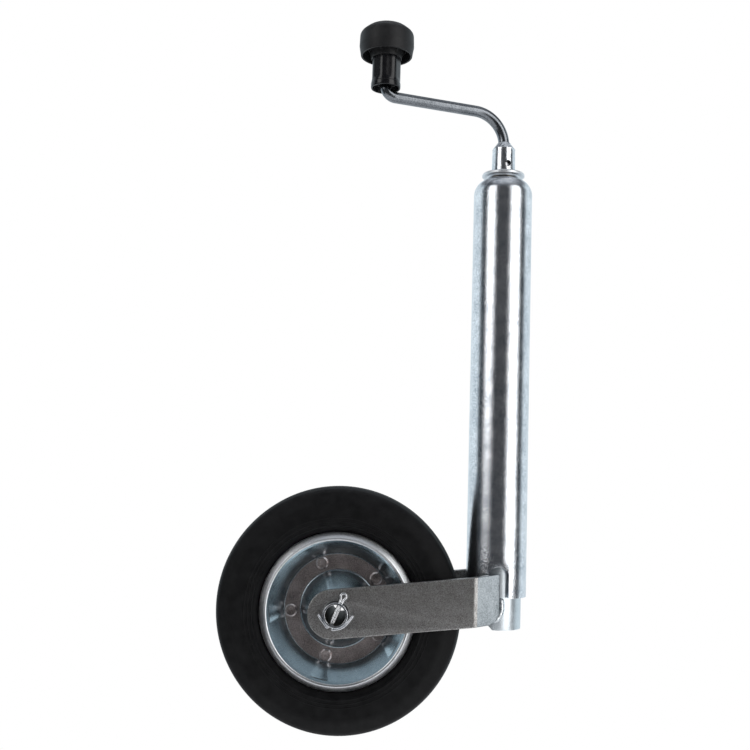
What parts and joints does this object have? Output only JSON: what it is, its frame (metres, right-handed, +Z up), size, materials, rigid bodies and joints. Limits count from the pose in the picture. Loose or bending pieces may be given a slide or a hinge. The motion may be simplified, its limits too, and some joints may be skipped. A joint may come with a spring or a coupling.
{
  "type": "trailer jockey wheel",
  "caption": "Screw-operated trailer jockey wheel: clamp tube with telescopic inner leg, folding-in crank with free-turning knob, bent fork arms and a solid rubber wheel on a pressed steel rim.",
  "frame": {"origin": "on the tube axis half way up the outer tube, where the drawbar clamp grips it", "axes": "+Z up along the tubes to the crank, the wheel hangs on the -X side, +Y along the wheel's axle"},
  "size_m": [0.248, 0.0946, 0.571],
  "materials": {
    "bright_zinc": "bright zinc plating, faintly blue, glossy with fine orange peel",
    "dull_zinc": "dull mottled zinc plating",
    "plain_steel": "machined, lightly oiled",
    "bearing_steel": "ground and polished",
    "bronze": "machined, greased",
    "cage_brass": "stamped sheet",
    "nylon": "off-white moulded nylon",
    "black_rubber": "matt black solid rubber",
    "gloss_black": "glossy black moulding",
    "matt_black": "matt black moulding"
  },
  "bodies": {
    "barrel": {"outer_tube": "bright_zinc", "neck_bush": "bronze", "upper_bearing_race": "bearing_steel"},
    "crank": {"spindle": "plain_steel", "spindle_collar": "plain_steel", "collar_pin": "plain_steel", "lower_bearing_race": "bearing_steel", "bearing_cage": "cage_brass", "bearing_ball_1": "bearing_steel", "bearing_ball_2": "bearing_steel", "bearing_ball_3": "bearing_steel", "bearing_ball_4": "bearing_steel", "bearing_ball_5": "bearing_steel", "bearing_ball_6": "bearing_steel", "bearing_ball_7": "bearing_steel", "bearing_ball_8": "bearing_steel", "spindle_end_washer": "plain_steel", "spindle_circlip": "bearing_steel", "crank_flange": "bright_zinc", "crank_sleeve": "bright_zinc", "sleeve_roll_pin": "plain_steel", "crank_rod": "bright_zinc", "knob_clip": "bearing_steel"},
    "knob": {"knob_core": "gloss_black", "knob_cap": "matt_black"},
    "leg": {"inner_tube": "bright_zinc", "spindle_nut": "bronze", "guide_ring": "nylon", "fork_arm_near": "dull_zinc", "fork_arm_far": "dull_zinc", "axle_tube": "bright_zinc", "split_pin_near": "plain_steel", "split_pin_far": "plain_steel"},
    "wheel": {"tyre": "black_rubber", "rim_half_near": "bright_zinc", "rim_half_far": "bright_zinc", "rim_rivet_1": "dull_zinc", "rim_rivet_2": "dull_zinc", "rim_rivet_3": "dull_zinc", "rim_rivet_4": "dull_zinc", "rim_rivet_5": "dull_zinc", "hub_tube": "plain_steel", "hub_bush_near": "nylon", "hub_bush_far": "nylon"}
  },
  "joints": [
    {"name": "crank_turn", "type": "hinge", "parent": "barrel", "child": "crank", "pos_m": [0, 0, 0], "axis": [0, 0, 1], "range_deg": [0, 19800]},
    {"name": "leg_slide", "type": "slide", "parent": "barrel", "child": "leg", "axis": [0, 0, -1], "range_m": [0, 0.22]},
    {"name": "wheel_spin", "type": "hinge", "parent": "leg", "child": "wheel", "pos_m": [-0.126, 0, -0.185], "axis": [0, 1, 0], "continuous": true},
    {"name": "knob_spin", "type": "hinge", "parent": "crank", "child": "knob", "pos_m": [-0.09946, -0.03041, 0.2595], "axis": [0, 0, 1], "continuous": true}
  ],
  "couplings": [
    {"joint": "leg_slide", "follows": "crank_turn", "m_per_rad": 0.00063662}
  ]
}
